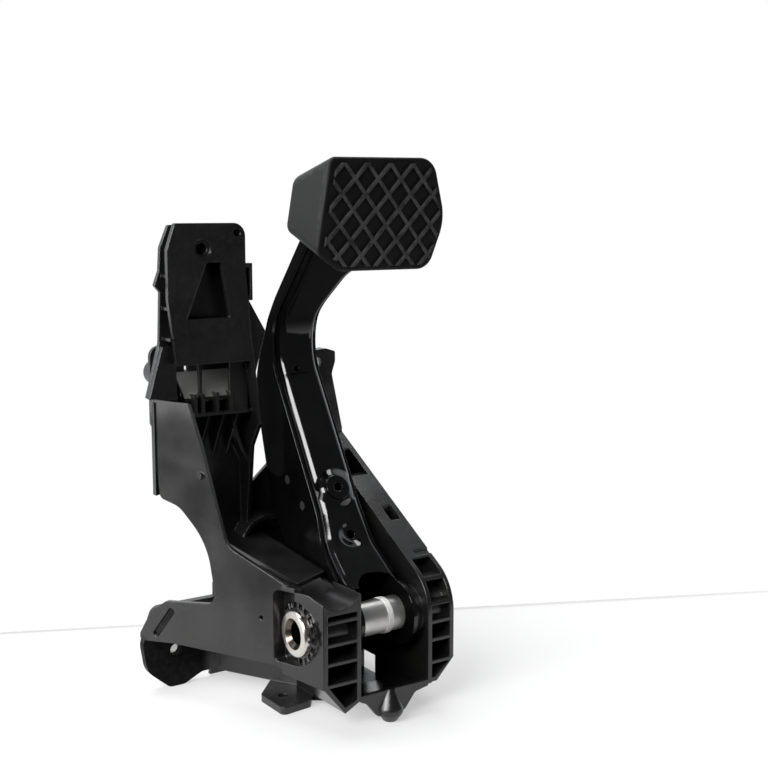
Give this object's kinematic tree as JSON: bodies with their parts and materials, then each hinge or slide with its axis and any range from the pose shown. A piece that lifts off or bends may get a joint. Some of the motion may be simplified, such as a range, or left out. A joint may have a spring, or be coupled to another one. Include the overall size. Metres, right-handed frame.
{
  "type": "brake pedal",
  "caption": "Hanging brake pedal: rubber pad on a hollow black arm, pinned in a black moulded bracket that bolts up and carries a module tower.",
  "frame": {"origin": "middle of the pivot axis, halfway between the inner faces of the bracket's two cheeks", "axes": "+X along the pivot to the right of the driver's view of the pad, +Y away from the pad's face to the mounting plane, +Z from the pivot up to the pad"},
  "size_m": [0.1574, 0.1318, 0.291],
  "materials": {
    "bracket_plastic": "satin black glass-filled moulding with a fine grain and light dust",
    "arm_paint": "gloss black dip paint over pressed steel",
    "bright_steel": "bright turned steel with a slight warm tint",
    "zinc_steel": "dull grey zinc plate",
    "nylon_white": "natural white nylon",
    "nylon_black": "black nylon",
    "pad_rubber_black": "matte black rubber with greyed, worn ridges"
  },
  "bodies": {
    "bracket": {"pedal_bracket": "bracket_plastic", "mount_sleeves": "zinc_steel", "pivot_tube": "bright_steel", "pivot_retainer": "bright_steel"},
    "pedal": {"thrust_washer_left": "nylon_white", "thrust_washer_right": "nylon_white", "bearing_liner": "nylon_white", "hub_tube_left": "zinc_steel", "hub_tube_right": "zinc_steel", "pedal_front_shell": "arm_paint", "pedal_rear_shell": "arm_paint", "pushrod_socket": "nylon_black", "pad_plate": "arm_paint", "pad_rubber": "pad_rubber_black"}
  },
  "joints": [
    {"name": "pedal_pivot", "type": "hinge", "parent": "bracket", "child": "pedal", "pos_m": [0, 0, 0], "axis": [1, 0, 0], "range_deg": [0, 28]}
  ]
}
